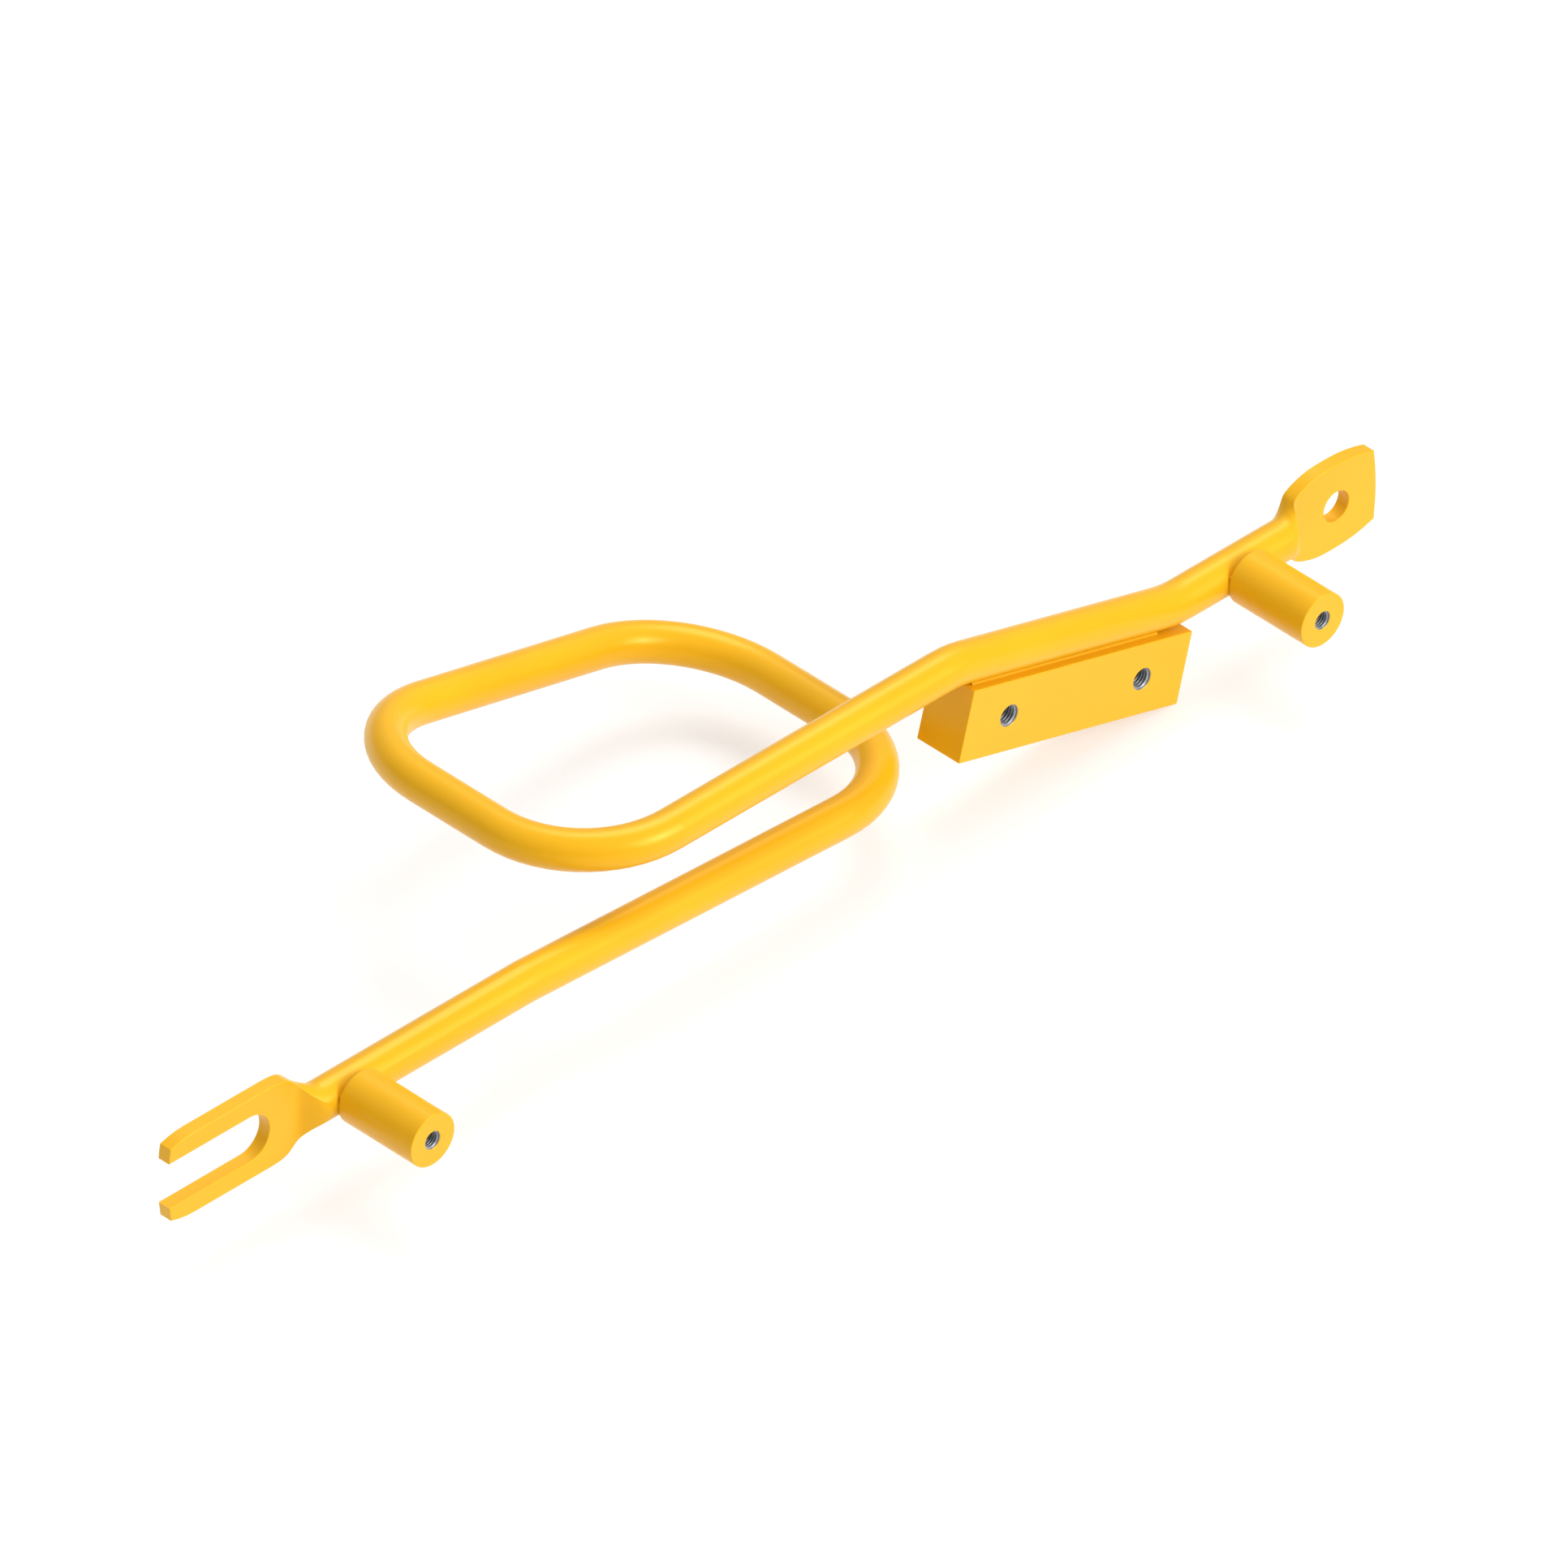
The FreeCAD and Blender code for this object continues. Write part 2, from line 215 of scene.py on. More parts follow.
class Wire:
    """One socket that a node gives. Sums on it add Math nodes to its tree."""

    def __init__(self, graph, socket):
        self.graph = graph
        self.socket = socket

    def output(self, name):
        """Another socket that the same node gives."""
        return Wire(self.graph, shown_socket(self.socket.node.outputs, name))

    def __add__(self, other):
        return self.graph.math("ADD", self, other)

    def __radd__(self, other):
        return self.graph.math("ADD", other, self)

    def __sub__(self, other):
        return self.graph.math("SUBTRACT", self, other)

    def __rsub__(self, other):
        return self.graph.math("SUBTRACT", other, self)

    def __mul__(self, other):
        return self.graph.math("MULTIPLY", self, other)

    def __rmul__(self, other):
        return self.graph.math("MULTIPLY", other, self)

    def __truediv__(self, other):
        return self.graph.math("DIVIDE", self, other)

    def __rtruediv__(self, other):
        return self.graph.math("DIVIDE", other, self)


class Graph:
    """A node tree that is being filled."""

    def __init__(self, tree):
        self.tree = tree
        tree.nodes.clear()

    def add(self, kind, sockets=None, **settings):
        """A node: its settings, then the value or the wire of each socket, by name or by number."""
        node = self.tree.nodes.new(kind)
        for name, value in settings.items():
            setattr(node, name, value)
        for key, value in (sockets or {}).items():
            socket = node.inputs[key] if isinstance(key, int) else shown_socket(node.inputs, key)
            if isinstance(value, Wire):
                self.tree.links.new(value.socket, socket)
            else:
                socket.default_value = value
        return Wire(self, next((socket for socket in node.outputs if socket.enabled), None))

    def math(self, operation, *values):
        return self.add("ShaderNodeMath", dict(enumerate(values)), operation=operation)

    def least(self, first, second):
        return self.math("MINIMUM", first, second)

    def most(self, first, second):
        return self.math("MAXIMUM", first, second)

    def root(self, value):
        return self.math("SQRT", value)

    def noise(self, vector, scale, detail):
        return self.add(
            "ShaderNodeTexNoise", {"Vector": vector, "Scale": scale, "Detail": detail})

    def fade(self, value, low, high):
        """0 up to low and 1 from high, with a soft step between them."""
        return self.add(
            "ShaderNodeMapRange", {"Value": value, "From Min": low, "From Max": high},
            interpolation_type="SMOOTHSTEP")

    def blend(self, factor, first, second):
        """The first colour where the factor is 0, the second where it is 1."""
        return self.add(
            "ShaderNodeMix", {"Factor": factor, "A": first, "B": second}, data_type="RGBA")

    def parts(self, vector):
        """The x, y and z of a vector."""
        split = self.add("ShaderNodeSeparateXYZ", {"Vector": vector})
        return split, split.output("Y"), split.output("Z")

    def vector(self, x, y, z):
        return self.add("ShaderNodeCombineXYZ", {"X": x, "Y": y, "Z": z})


def opaque(colour, shade=1.0):
    """A colour for a socket, darkened by its shade."""
    return (*(part * shade for part in colour), 1.0)


# --- materials --------------------------------------------------------------------------------

# The scales of noise, in waves to the metre.
TONE_SCALE = 11.0
FLOW_SCALE = 160.0
OIL_SCALE = 420.0
MASK_SCALE = 900.0
GRAIN_SCALE = 1400.0

# The enamel. Its tone drifts between its colour and a deeper shade, and its roughness with it.
DEEP_SHADE = 0.93
TONE_START = 0.25
TONE_END = 0.75
TONE_ROUGHNESS = 0.10
FLOW_ROUGHNESS = 0.08
FLOW_HEIGHT = 0.35            # of the film's flow, as a share of the orange peel's
EDGE_START = 0.012            # how far normals part where a surface starts to count as an edge
EDGE_END = 0.10               # and where it counts as nothing else
EDGE_SAMPLES = 6
# Painted edge highlight: sharp edges get a lighter enamel colour, standing for thin film and for the
# light an edge catches. The next two numbers say how much of it an edge shows.
EDGE_HIGHLIGHT_BASE = 0.45              # how much thin enamel an edge shows where the film flowed least
EDGE_HIGHLIGHT_FLOW = 0.4               # and how much more it shows where the film flowed most

# Where the enamel was masked off at a thread.
MASK_SWING = 0.12 * MM        # how far its edge strays from a circle
MASK_BLUR = 0.06 * MM         # how far it fades, either side of that edge

# The cut steel. Its grain runs round a hole.
OIL_SHADE = 0.7
OIL_START = 0.35
OIL_END = 0.65
OIL_ROUGHNESS = 0.18
GRAIN_STRETCH = 9.0
GRAIN_DEPTH = 8 * MICRON


def material_graph(name):
    material = bpy.data.materials.new(name)
    material.use_nodes = True
    return material, Graph(material.node_tree)


def finish_surface(graph, surface):
    graph.add("ShaderNodeOutputMaterial", {"Surface": surface})


def bare_bores(graph, place, mounts, lip):
    """1 inside the stated holes and on their lips, 0 on the painted faces."""
    x, _, z = graph.parts(place)
    ragged = graph.noise(place, MASK_SCALE, detail=1.0) - 0.5
    mask = None
    for name in mounts:
        centre = MOUNTS[name]["pos_m"]
        aside = x - centre[0]
        above = z - centre[2]
        distance = graph.root(aside * aside + above * above) + ragged * MASK_SWING
        edge = MOUNTS[name]["dims"]["r_mm"] * MM + lip
        bore = 1 - graph.fade(distance, edge - MASK_BLUR, edge + MASK_BLUR)
        mask = bore if mask is None else graph.most(mask, bore)
    return mask


def enamel(name, settings, bores=()):
    """Gloss enamel: soft drifts of tone, an orange peel, and a lighter colour on sharp edges, partly
    thin film and partly a painted edge highlight.
    """
    material, graph = material_graph(name)
    place = graph.add("ShaderNodeTexCoord").output("Object")
    drift = graph.noise(place, TONE_SCALE, detail=3.0)
    flow = graph.noise(place, FLOW_SCALE, detail=2.0)
    peel = graph.noise(place, 1.0 / settings.peel_size, detail=1.5)
    rounded = graph.add("ShaderNodeBevel", {"Radius": settings.edge_width}, samples=EDGE_SAMPLES)
    faced = graph.add("ShaderNodeNewGeometry").output("Normal")
    agreement = graph.add(
        "ShaderNodeVectorMath", {0: rounded, 1: faced}, operation="DOT_PRODUCT").output("Value")
    edge = graph.fade(1 - agreement, EDGE_START, EDGE_END)

    tone = graph.fade(drift, TONE_START, TONE_END)
    toned = graph.blend(tone, opaque(settings.colour, DEEP_SHADE), opaque(settings.colour))
    # Painted edge highlight: sharp edges blend towards the lighter colour, partly thin film, partly
    # the light an edge catches.
    highlit_edge = edge * (EDGE_HIGHLIGHT_BASE + EDGE_HIGHLIGHT_FLOW * flow)
    film = graph.blend(highlit_edge, toned, opaque(settings.edge_highlight_colour))
    roughness = settings.roughness + TONE_ROUGHNESS * (drift - 0.5) + FLOW_ROUGHNESS * (flow - 0.5)
    height = peel + FLOW_HEIGHT * flow
    values = {
        "Specular Tint": opaque(settings.sheen), "Specular IOR Level": settings.reflection,
        "Coat Roughness": settings.coat_roughness}
    if bores:
        steel = bare_bores(graph, place, bores, settings.lip)
        film = graph.blend(steel, film, opaque(settings.steel))
        roughness = roughness + steel * (settings.steel_roughness - roughness)
        height = height * (1 - steel)
        values["Metallic"] = steel * settings.steel_shine
        values["Coat Weight"] = settings.coat * (1 - steel)
    else:
        values["Coat Weight"] = settings.coat
    bump = graph.add(
        "ShaderNodeBump", {"Height": height, "Distance": settings.peel_depth, "Strength": 1.0})
    surface = graph.add("ShaderNodeBsdfPrincipled", {
        "Base Color": film, "Roughness": roughness, "Normal": bump, **values})
    finish_surface(graph, surface)
    return material


def cut_steel(name, settings):
    """Bare steel from the tap: a fine grain, with darker cutting oil left in patches."""
    material, graph = material_graph(name)
    place = graph.add("ShaderNodeTexCoord").output("Object")
    x, y, z = graph.parts(place)
    oil = graph.noise(place, OIL_SCALE, detail=3.0)
    grain = graph.noise(graph.vector(x, y * GRAIN_STRETCH, z), GRAIN_SCALE, detail=2.0)
    clean = graph.fade(oil, OIL_START, OIL_END)
    colour = graph.blend(clean, opaque(settings.steel, OIL_SHADE), opaque(settings.steel))
    bump = graph.add(
        "ShaderNodeBump", {"Height": grain, "Distance": GRAIN_DEPTH, "Strength": 1.0})
    roughness = settings.steel_roughness + OIL_ROUGHNESS * (oil - 0.5)
    surface = graph.add("ShaderNodeBsdfPrincipled", {
        "Base Color": colour, "Metallic": settings.steel_shine, "Roughness": roughness,
        "Normal": bump})
    finish_surface(graph, surface)
    return material


def repaint(nodes, material):
    """A CAD node keeps its mesh and gets a new material."""
    for name in nodes:
        for slot in frame["nodes"][name].material_slots:
            slot.material = material


# --- meshes that geometry nodes make ----------------------------------------------------------

SOCKET_KINDS = {
    float: "NodeSocketFloat", int: "NodeSocketInt", bpy.types.Material: "NodeSocketMaterial"}

# The thread's ridge.
RIDGE_TIP = 0.04              # its size at both ends, as a share of its full size
RIDGE_FOOT = 0.06 * MM        # how deep it is fused into the wall of its hole
RIDGE_SHARP = math.radians(25)

# The weld beads. A ripple rises over most of its pitch and then drops.
RIPPLE_DROP = 0.78            # where it starts to drop, as a share of its pitch
RIPPLE_LEVEL = 0.4            # the height of the plain face, as a share of a ripple's
RIPPLE_CURVE = 1.6            # the larger, the straighter each ripple's crescent
RIPPLE_WANDER = 0.8           # how unevenly ripples follow each other, in pitches
WANDER_SCALE = 260.0          # how often that changes, in waves to the metre
SEED_STEP = 0.1               # between the noise of one bead and the next
BEAD_TIP = 0.01               # the square of the size of a bead's ends
BEAD_SHARP = math.radians(60)


class Shaper:
    """A geometry node tree, its named inputs and the plain meshes that it makes."""

    def __init__(self, name, inputs, fill):
        tree = bpy.data.node_groups.new(name, "GeometryNodeTree")
        self.tree = tree
        self.graph = Graph(tree)
        tree.interface.new_socket("Geometry", in_out="OUTPUT", socket_type="NodeSocketGeometry")
        self.identifiers = {}
        for title, kind in inputs.items():
            socket = tree.interface.new_socket(
                title, in_out="INPUT", socket_type=SOCKET_KINDS[kind])
            self.identifiers[title] = socket.identifier
        entry = self.graph.add("NodeGroupInput")
        wires = {title: entry.output(title) for title in inputs}
        shape = fill(self.graph, wires)
        whole = self.graph.add("GeometryNodeRealizeInstances", {"Geometry": shape})
        coated = self.graph.add(
            "GeometryNodeSetMaterial", {"Geometry": whole, "Material": wires["Material"]})
        self.graph.add("NodeGroupOutput", {"Geometry": coated})

    def make(self, name, values, placement, sharp_angle):
        """A new piece at the origin, with its place in its mesh."""
        piece = bpy.data.objects.new(name, bpy.data.meshes.new(name + "_seed"))
        bpy.context.scene.collection.objects.link(piece)
        modifier = piece.modifiers.new(self.tree.name, "NODES")
        modifier.node_group = self.tree
        for title, value in values.items():
            modifier[self.identifiers[title]] = value
        depsgraph = bpy.context.evaluated_depsgraph_get()
        mesh = bpy.data.meshes.new_from_object(piece.evaluated_get(depsgraph), depsgraph=depsgraph)
        if not mesh.polygons:
            raise RuntimeError(f"{self.tree.name} made nothing for {name}")
        piece.modifiers.clear()
        mesh.name = name
        mesh.transform(placement)
        mesh.shade_smooth()
        mesh.set_sharp_from_angle(angle=sharp_angle)
        piece.data = mesh
        return piece


def thread_ridge(graph, wires):
    """
    A right-handed ridge that climbs from z = 0. It stands on the wall of the hole and points
    at the axis: 7/8 of the pitch wide at its foot and 1/4 of it at its crest.
    """
    pitch = wires["Pitch"]
    turns = wires["Length"] / pitch
    helix = graph.add("GeometryNodeCurveSpiral", {
        "Resolution": wires["Segments"], "Rotations": turns, "Start Radius": wires["Radius"],
        "End Radius": wires["Radius"], "Height": wires["Length"]})
    level = graph.add("GeometryNodeSetCurveNormal", {"Curve": helix}, mode="Z_UP")
    along = graph.add("GeometryNodeSplineParameter")
    to_end = graph.least(along, 1 - along) * turns
    rise = graph.fade(to_end, 0.0, wires["Run-out"])
    faded = graph.add("GeometryNodeSetCurveRadius", {
        "Curve": level, "Radius": RIDGE_TIP + (1 - RIDGE_TIP) * rise})
    height = pitch * (math.sqrt(3) / 2 * 5 / 8)
    profile = graph.add("GeometryNodeCurvePrimitiveQuadrilateral", {
        "Height": height, "Bottom Width": pitch * (7 / 8), "Top Width": pitch / 4,
        "Offset": 0.0}, mode="TRAPEZOID")
    turned = graph.add("GeometryNodeTransform", {
        "Geometry": profile, "Translation": graph.vector(height * 0.5, 0.0, 0.0),
        "Rotation": (0.0, 0.0, math.pi / -2)})
    return graph.add("GeometryNodeCurveToMesh", {
        "Curve": faded, "Profile Curve": turned, "Fill Caps": True})


def weld_bead(graph, wires):
    """
    A bead beside a bar whose axis is x, in the groove over a flat face below it. The bead is a
    rippled rod, pressed flat where it meets the face and hollow where it meets the bar.
    """
    length = wires["Length"]
    radius = wires["Face Radius"]
    start = graph.vector(length * -0.5, 0.0, 0.0)
    end = graph.vector(length * 0.5, 0.0, 0.0)
    line = graph.add("GeometryNodeCurvePrimitiveLine", {"Start": start, "End": end})
    path = graph.add(
        "GeometryNodeResampleCurve", {"Curve": line, "Length": wires["Step"]}, mode="LENGTH")
    along = graph.add("GeometryNodeSplineParameter").output("Length")
    to_end = graph.least(graph.least(along, length - along) / radius, 1.0)
    short = 1 - to_end
    swell = graph.root(graph.most(1 - short * short, BEAD_TIP))
    capped = graph.add("GeometryNodeSetCurveRadius", {"Curve": path, "Radius": swell})
    ring = graph.add(
        "GeometryNodeCurvePrimitiveCircle", {"Resolution": wires["Sides"], "Radius": radius})
    rod = graph.add(
        "GeometryNodeCurveToMesh", {"Curve": capped, "Profile Curve": ring, "Fill Caps": True})

    # Ripples: each rises slowly and drops sharply, in a crescent that trails at both toes.
    x, y, z = graph.parts(graph.add("GeometryNodeInputPosition"))
    across = y * wires["Tilt Sine"] - z * wires["Tilt Cosine"]
    wander = graph.add(
        "ShaderNodeTexNoise", {"W": x + wires["Seed"], "Scale": WANDER_SCALE}, noise_dimensions="1D")
    crescent = x + across * across / (radius * RIPPLE_CURVE)
    beat = graph.math("FRACT", crescent / wires["Ripple Pitch"] + wander * RIPPLE_WANDER)
    fall = graph.fade(beat, RIPPLE_DROP, 1.0)
    wave = beat * (1 - fall) - RIPPLE_LEVEL
    grown = 1 + wave * wires["Ripple Height"] / radius
    rippled = graph.add("GeometryNodeSetPosition", {
        "Geometry": rod, "Position": graph.vector(x, y * grown, z * grown)})
    shift = graph.vector(0.0, wires["Centre Aside"], wires["Centre Up"])
    centred = graph.add("GeometryNodeTransform", {"Geometry": rippled, "Translation": shift})

    # Held between the flat face and the bar, and fused a little way into both.
    x, y, z = graph.parts(graph.add("GeometryNodeInputPosition"))
    floor = wires["Seat"] * -1 - wires["Bar Radius"]
    low = graph.most(z, floor)
    from_axis = graph.root(y * y + low * low)
    push = graph.most(from_axis, wires["Bar Radius"] - wires["Seat"]) / from_axis
    held = graph.vector(x, y * push, graph.most(low * push, floor))
    return graph.add("GeometryNodeSetPosition", {"Geometry": centred, "Position": held})


# --- where things are -------------------------------------------------------------------------

def jog_direction():
    """Down the slope of the block, which is the slope of the bar above it."""
    upper = Vector(MOUNTS["block_thread_upper"]["pos_m"])
    lower = Vector(MOUNTS["block_thread_lower"]["pos_m"])
    return (lower - upper).normalized()


def reach(node, direction):
    """How far a CAD node's points lie along a direction: the least and the most."""
    distances = [vertex.co.dot(direction) for vertex in frame["nodes"][node].data.vertices]
    return min(distances), max(distances)


def weld_place(node, neighbour, side, bar_radius):
    """The frame of a bead, with the bar's axis as x and the flat face below, and its length."""
    bar_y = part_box("fork_boss")[1].y + bar_radius
    if neighbour == "threaded_block":
        aside = Vector((0, side, 0))
        up = Vector((0, -1, 0)).cross(jog_direction())
        middle = Vector(MOUNTS["block_bolts"]["pos_m"])
        middle.y = bar_y
    else:
        aside = Vector((0, 0, side))
        up = Vector((0, 1, 0))
        low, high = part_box(neighbour)
        middle = (low + high) / 2
    along = aside.cross(up)
    face = reach(neighbour, up)[1]
    first, last = reach(node, along)
    middle += up * (face + bar_radius - middle.dot(up))
    middle += along * ((first + last) / 2 - middle.dot(along))
    columns = Matrix((along, aside, up)).transposed().to_4x4()
    return Matrix.Translation(middle) @ columns, last - first


def bead_section(weld):
    """
    The circle of a bead's face: its radius, its centre aside of and below the bar's axis, and
    the sine and cosine of the way that the face looks.
    """
    radius = weld.bar_radius
    turn = math.acos(1 - weld.throat / radius)
    top = Vector((radius * math.sin(turn), -radius * math.cos(turn)))
    toe = Vector((top.x + weld.throat / 2, -radius))
    chord = top - toe
    outward = Vector((chord.y, -chord.x)).normalized()
    face_radius = chord.length_squared / (8 * weld.bulge) + weld.bulge / 2
    centre = (toe + top) / 2 - outward * (face_radius - weld.bulge)
    return face_radius, centre, outward


# --- the operators ----------------------------------------------------------------------------

class BOW_OT_paint_bar(bpy.types.Operator):
    """Enamel on the bent bar, its fork and its eye"""

    bl_idname = "bow.paint_bar"
    bl_label = "Paint the bar"

    def execute(self, context):
        repaint(["bow_bar"], enamel("bar_enamel", context.scene.bow_paint))
        return {"FINISHED"}


class BOW_OT_paint_bosses(bpy.types.Operator):
    """Enamel on both bosses, with their threaded holes left bare"""

    bl_idname = "bow.paint_bosses"
    bl_label = "Paint the bosses"

    def execute(self, context):
        holes = ["fork_boss_thread", "eye_boss_thread"]
        repaint(["fork_boss", "eye_boss"], enamel("boss_enamel", context.scene.bow_paint, holes))
        return {"FINISHED"}


class BOW_OT_paint_block(bpy.types.Operator):
    """Enamel on the block, with its threaded holes left bare"""

    bl_idname = "bow.paint_block"
    bl_label = "Paint the block"

    def execute(self, context):
        holes = ["block_thread_upper", "block_thread_lower"]
        repaint(["threaded_block"], enamel("block_enamel", context.scene.bow_paint, holes))
        return {"FINISHED"}


class BOW_OT_cut_threads(bpy.types.Operator):
    """The helical ridges in the two boss holes and the two block holes"""

    bl_idname = "bow.cut_threads"
    bl_label = "Cut the threads"

    def execute(self, context):
        settings = context.scene.bow_thread
        pitches = {"boss": settings.boss_pitch, "block": settings.block_pitch}
        steel = cut_steel("cut_thread_steel", context.scene.bow_paint)
        inputs = {
            "Radius": float, "Length": float, "Pitch": float, "Run-out": float,
            "Segments": int, "Material": bpy.types.Material}
        shaper = Shaper("thread_ridge", inputs, thread_ridge)
        for name, mount_name, kind in THREADS:
            mount = MOUNTS[mount_name]
            length = mount["dims"]["length_mm"] * MM
            inward = -Vector(mount["axis"])
            mouth = Vector(mount["pos_m"]) - inward * (length / 2)
            values = {
                "Radius": mount["dims"]["r_mm"] * MM + RIDGE_FOOT, "Length": length - pitches[kind],
                "Pitch": pitches[kind], "Run-out": settings.run_out,
                "Segments": settings.segments, "Material": steel}
            start = mouth + inward * (pitches[kind] / 2)
            placement = Matrix.Translation(start) @ inward.to_track_quat("Z", "Y").to_matrix().to_4x4()
            ridge = shaper.make(name, values, placement, RIDGE_SHARP)
            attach(ridge, BODY)
        return {"FINISHED"}


class BOW_OT_lay_welds(bpy.types.Operator):
    """The rippled beads that hold the bosses and the block to the bar"""

    bl_idname = "bow.lay_welds"
    bl_label = "Lay the welds"

    def execute(self, context):
        weld = context.scene.bow_weld
        coat = enamel("bead_enamel", context.scene.bow_paint)
        inputs = dict.fromkeys((
            "Length", "Face Radius", "Centre Aside", "Centre Up", "Tilt Sine", "Tilt Cosine",
            "Bar Radius", "Seat", "Ripple Pitch", "Ripple Height", "Step", "Seed"), float)
        inputs.update({"Sides": int, "Material": bpy.types.Material})
        shaper = Shaper("weld_bead", inputs, weld_bead)
        face_radius, centre, outward = bead_section(weld)
        for number, (node, neighbour, side) in enumerate(WELDS):
            placement, length = weld_place(node, neighbour, side, weld.bar_radius)
            values = {
                "Length": length - 2 * weld.end_gap, "Face Radius": face_radius,
                "Centre Aside": centre.x, "Centre Up": centre.y, "Tilt Sine": outward.y,
                "Tilt Cosine": outward.x, "Bar Radius": weld.bar_radius, "Seat": weld.seat,
                "Ripple Pitch": weld.ripple_pitch, "Ripple Height": weld.ripple_height,
                "Step": weld.step, "Seed": SEED_STEP * number, "Sides": weld.sides,
                "Material": coat}
            bead = shaper.make(node.replace("weld", "bead"), values, placement, BEAD_SHARP)
            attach(bead, BODY)
            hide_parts(node)
        return {"FINISHED"}


class BOW_OT_set_stage(bpy.types.Operator):
    """A pale floor, soft lights and the camera"""

    bl_idname = "bow.set_stage"
    bl_label = "Set the stage"

    def execute(self, context):
        stage = context.scene.bow_stage
        lay_floor(stage)
        fill_world(context.scene, stage)
        low, high = CAD_BOX
        middle = (low + high) / 2
        lights = (
            ("key_light", FRONT, stage.key_size, stage.key_power),
            ("glint_light", FRONT, stage.glint_size, stage.glint_power),
            ("top_light", OVERHEAD, stage.top_size, stage.top_power),
        )
        for name, direction, size, power in lights:
            place = middle + direction * stage.light_distance
            hang_light(name, place, direction, size, power)
        aim_camera(context.scene, stage, middle)
        context.scene.view_settings.view_transform = "Standard"
        return {"FINISHED"}


# --- the stage --------------------------------------------------------------------------------

# The ways to the lights, from the bow's middle.
FRONT = Vector((0.25, -0.85, 0.46)).normalized()
OVERHEAD = Vector((0.43, 0.25, 0.87)).normalized()

MOTTLE_SCALE = 3.0            # the floor's faint patches, in waves to the metre
MOTTLE_SHADE = 0.985
FLOOR_ROUGHNESS = 0.85


def lay_floor(stage):
    half = stage.floor_reach
    level = CAD_BOX[0].z
    mesh = bpy.data.meshes.new("floor")
    corners = [(-half, -half, level), (half, -half, level), (half, half, level), (-half, half, level)]
    mesh.from_pydata(corners, [], [(0, 1, 2, 3)])
    material, graph = material_graph("pale_floor")
    place = graph.add("ShaderNodeTexCoord").output("Object")
    mottle = graph.noise(place, MOTTLE_SCALE, detail=2.0)
    darker = opaque(stage.floor_colour, MOTTLE_SHADE)
    surface = graph.add("ShaderNodeBsdfPrincipled", {
        "Base Color": graph.blend(mottle, darker, opaque(stage.floor_colour)),
        "Roughness": FLOOR_ROUGHNESS, "Emission Color": WHITE,
        "Emission Strength": stage.floor_glow})
    finish_surface(graph, surface)
    mesh.materials.append(material)
    floor = bpy.data.objects.new("floor", mesh)
    bpy.context.scene.collection.objects.link(floor)


def fill_world(scene, stage):
    """A white studio: less light comes from its sides than from above, and its walls look pale."""
    world = bpy.data.worlds.new("soft_studio")
    world.use_nodes = True
    graph = Graph(world.node_tree)
    height = graph.parts(graph.add("ShaderNodeTexCoord").output("Generated"))[2]
    strength = stage.horizon + (stage.zenith - stage.horizon) * graph.fade(height, 0.0, 1.0)
    light = graph.add("ShaderNodeBackground", {"Color": WHITE, "Strength": strength})
    wall = graph.add("ShaderNodeBackground", {"Color": WHITE, "Strength": stage.wall})
    seen = graph.add("ShaderNodeLightPath").output("Is Camera Ray")
    studio = graph.add("ShaderNodeMixShader", {0: seen, 1: light, 2: wall})
    graph.add("ShaderNodeOutputWorld", {"Surface": studio})
    scene.world = world


def hang_light(name, place, direction, size, power):
    """A square soft light that looks back along a direction, at the bow."""
    lamp = bpy.data.lights.new(name, "AREA")
    lamp.shape = "SQUARE"
    lamp.size = size
    lamp.energy = power
    light = bpy.data.objects.new(name, lamp)
    light.location = place
    light.rotation_euler = direction.to_track_quat("Z", "Y").to_euler()
    light.visible_camera = False
    bpy.context.scene.collection.objects.link(light)


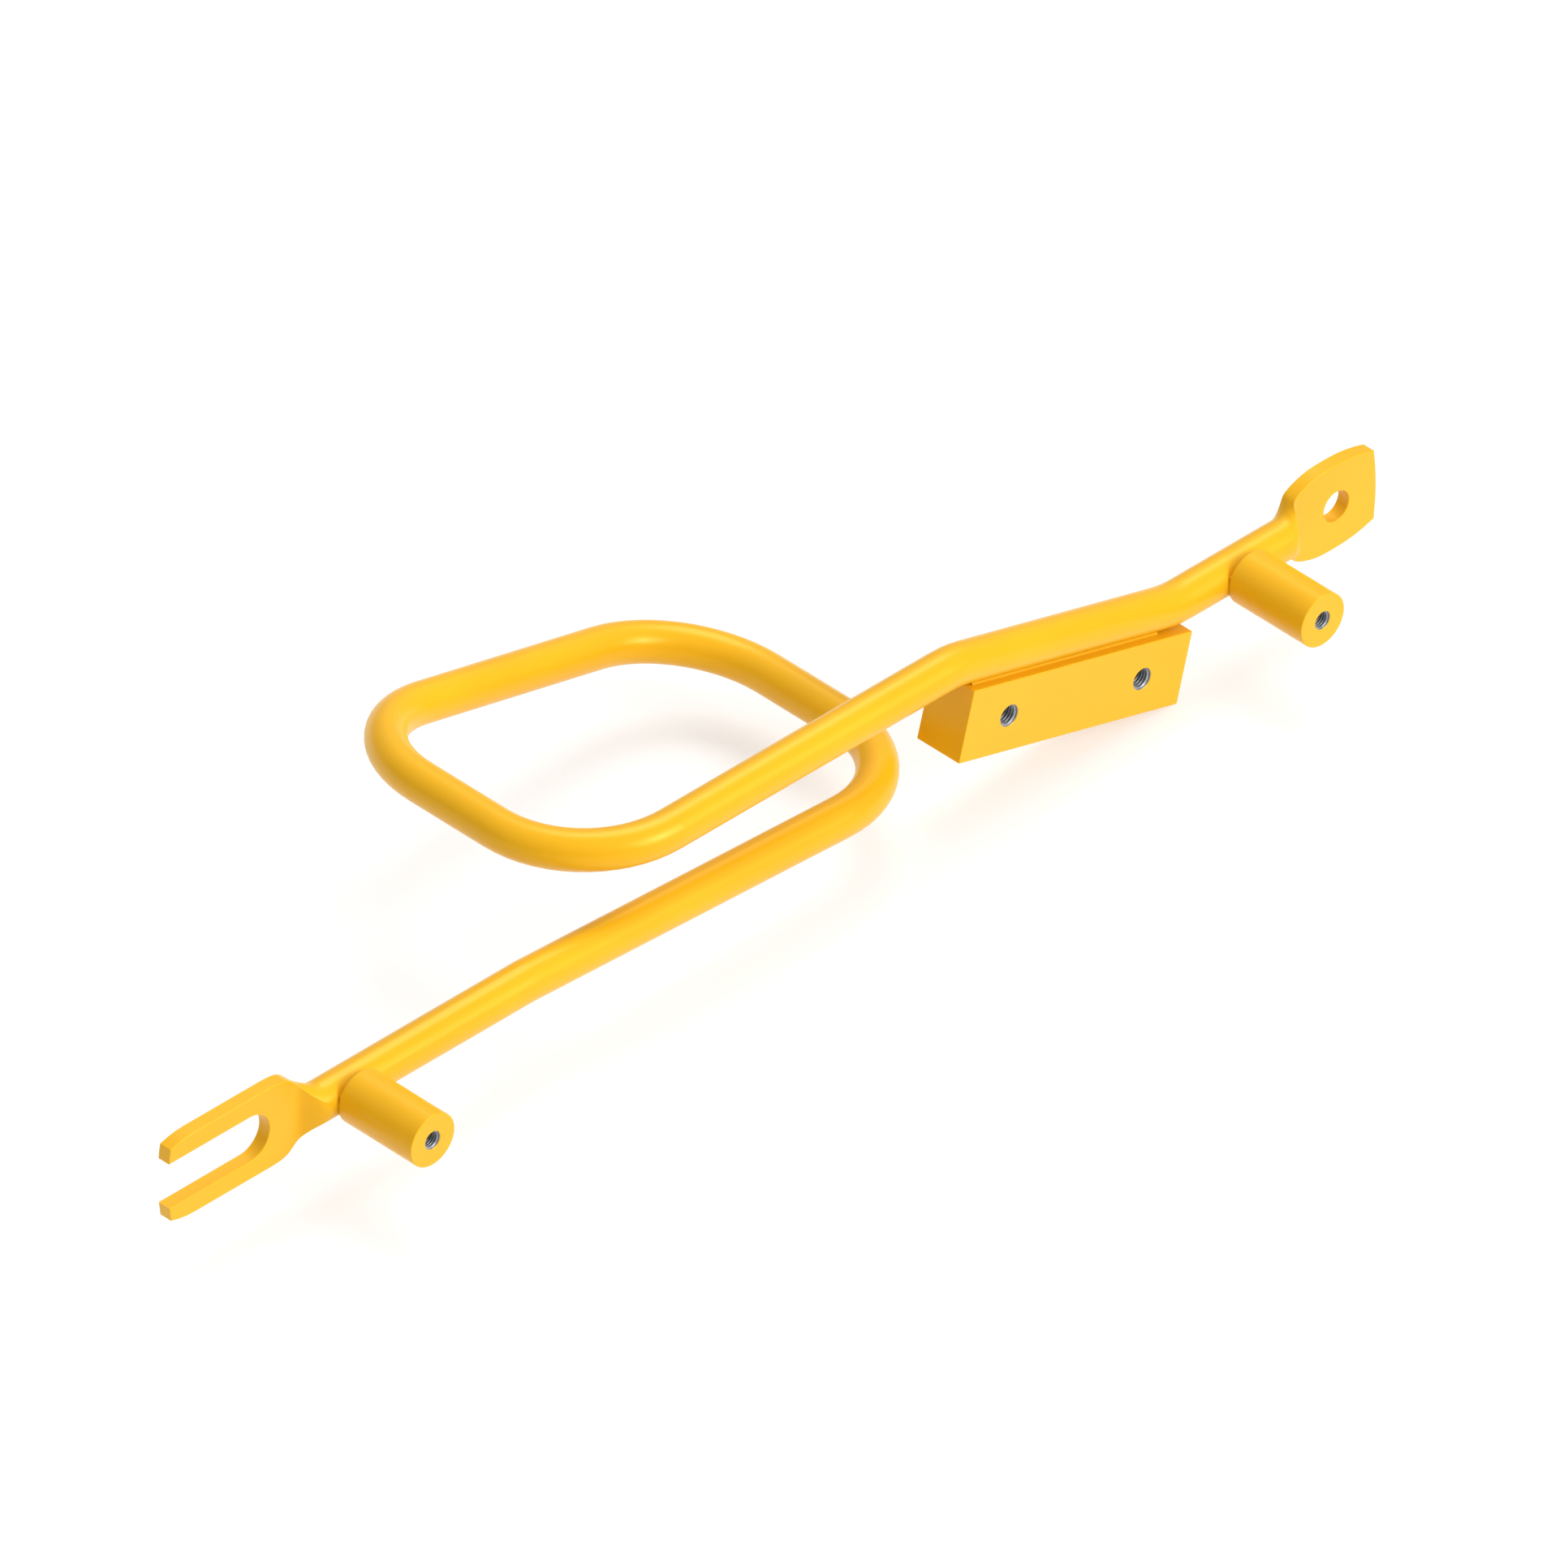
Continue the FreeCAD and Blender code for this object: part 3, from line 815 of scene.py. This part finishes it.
def aim_camera(scene, stage, middle):
    data = bpy.data.cameras.new("camera")
    data.lens = stage.lens
    distance = stage.view_width * stage.lens / data.sensor_width
    data.clip_start = distance / 10
    data.clip_end = distance * 2
    level = math.cos(stage.elevation)
    back = Vector((
        math.sin(stage.azimuth) * level,
        -math.cos(stage.azimuth) * level,
        math.sin(stage.elevation)))
    turn = back.to_track_quat("Z", "Y")
    aim = middle + turn @ Vector((stage.aim_right, stage.aim_up, 0.0))
    camera = bpy.data.objects.new("camera", data)
    camera.location = aim + back * distance
    camera.rotation_euler = turn.to_euler()
    scene.collection.objects.link(camera)
    scene.camera = camera


# --- the sidebar ------------------------------------------------------------------------------

class BOW_PT_sidebar(bpy.types.Panel):
    """Every step of the bow's finish, in order"""

    bl_label = "Bent bar bow"
    bl_idname = "BOW_PT_sidebar"
    bl_space_type = "VIEW_3D"
    bl_region_type = "UI"
    bl_category = "Bow"

    def draw(self, context):
        for step in STEPS:
            self.layout.operator(step.bl_idname)
        for group in SETTINGS:
            box = self.layout.box()
            settings = getattr(context.scene, group)
            for name in settings.bl_rna.properties.keys():
                if name not in ("rna_type", "name"):
                    box.prop(settings, name)


SETTINGS = {
    "bow_paint": BowPaintSettings,
    "bow_thread": BowThreadSettings,
    "bow_weld": BowWeldSettings,
    "bow_stage": BowStageSettings,
}
STEPS = (
    BOW_OT_paint_bar,
    BOW_OT_paint_bosses,
    BOW_OT_paint_block,
    BOW_OT_cut_threads,
    BOW_OT_lay_welds,
    BOW_OT_set_stage,
)
CLASSES = (*SETTINGS.values(), *STEPS, BOW_PT_sidebar)


def register():
    for made in CLASSES:
        bpy.utils.register_class(made)
    for name, group in SETTINGS.items():
        setattr(bpy.types.Scene, name, PointerProperty(type=group))


def unregister():
    for name in SETTINGS:
        delattr(bpy.types.Scene, name)
    for made in reversed(CLASSES):
        bpy.utils.unregister_class(made)


def main():
    register()
    bpy.ops.bow.paint_bar()
    bpy.ops.bow.paint_bosses()
    bpy.ops.bow.paint_block()
    bpy.ops.bow.cut_threads()
    bpy.ops.bow.lay_welds()
    bpy.ops.bow.set_stage()


if __name__ == "__main__":
    main()
